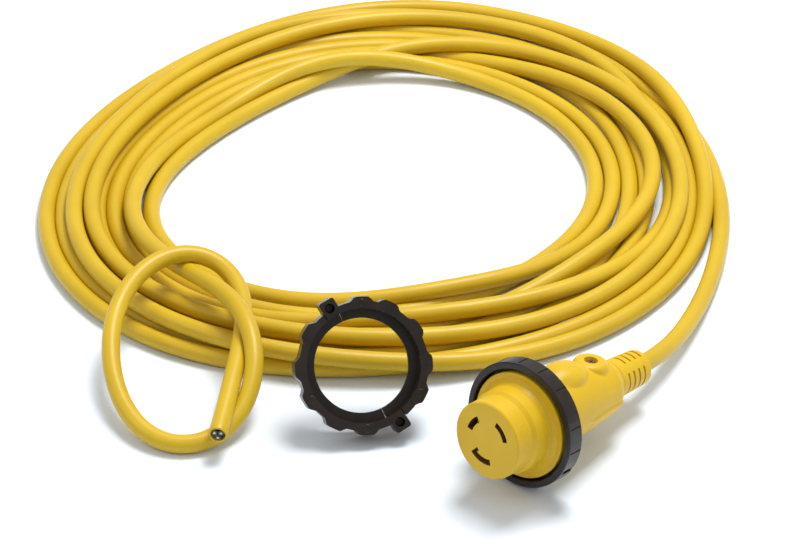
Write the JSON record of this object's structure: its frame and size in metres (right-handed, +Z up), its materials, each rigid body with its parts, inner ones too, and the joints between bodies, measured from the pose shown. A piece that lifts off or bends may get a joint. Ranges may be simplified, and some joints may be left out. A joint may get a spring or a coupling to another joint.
{
  "type": "shore power cord",
  "caption": "Coiled yellow power cord with a round locking socket connector at one end, a bare cut end at the other, and a loose lobed two-piece ring beside it.",
  "frame": {"origin": "on the floor, under the middle of the bounding box of the connector and the loose ring (the cord left out)", "axes": "+Z up from the floor; +Y away from the viewer, towards the coil; +X to the viewer's right"},
  "size_m": [0.4454, 0.5954, 0.0784],
  "materials": {
    "sheath_yellow": "satin yellow cable sheath",
    "connector_yellow": "satin moulded yellow",
    "ring_black": "semi-gloss black",
    "seal_black": "matt",
    "insert_brown": "matt",
    "contact_brass": "plain",
    "screw_steel": "plain",
    "grip_plastic": "matt",
    "bare_copper": "bare copper strands",
    "core_brown": "matt",
    "core_blue": "matt",
    "core_green": "matt"
  },
  "bodies": {
    "cord_set": {"cable_coil": "sheath_yellow", "cable_lead": "sheath_yellow", "cable_tail": "sheath_yellow", "cut_end_jacket": "sheath_yellow", "cable_entry": "sheath_yellow", "nose_shell": "connector_yellow", "rear_housing": "connector_yellow", "strain_relief": "connector_yellow", "contact_carrier": "insert_brown", "contact_live": "contact_brass", "contact_neutral": "contact_brass", "contact_earth": "contact_brass", "terminal_screw_1": "screw_steel", "terminal_screw_2": "screw_steel", "terminal_screw_3": "screw_steel", "clamp_screw_top": "screw_steel", "clamp_screw_bottom": "screw_steel", "clamp_upper": "grip_plastic", "clamp_lower": "grip_plastic", "cut_conductor_1": "bare_copper", "cut_conductor_2": "bare_copper", "cut_conductor_3": "bare_copper", "cut_core_brown": "core_brown", "core_live": "core_brown", "cut_core_blue": "core_blue", "core_neutral": "core_blue", "cut_core_green": "core_green", "core_earth": "core_green"},
    "seal": {"ring_gasket": "seal_black"},
    "locking_ring": {"locking_ring": "ring_black"},
    "loose_ring": {"ring_half_a": "ring_black", "ring_half_b": "ring_black", "ring_screw_a": "screw_steel", "ring_screw_b": "screw_steel", "ring_nut_a": "screw_steel", "ring_nut_b": "screw_steel"}
  },
  "joints": [
    {"name": "seal_slide", "type": "slide", "parent": "cord_set", "child": "seal", "axis": [0.6662, 0.7322, -0.142], "range_m": [0, 0.01]},
    {"name": "locking_ring_turn", "type": "hinge", "parent": "seal", "child": "locking_ring", "pos_m": [0.0282, -0.02289, 0.03846], "axis": [0.6662, 0.7322, -0.142], "continuous": true},
    {"name": "loose_ring_lift", "type": "slide", "parent": "cord_set", "child": "loose_ring", "axis": [0, 0, 1], "range_m": [0, 0.1]}
  ]
}
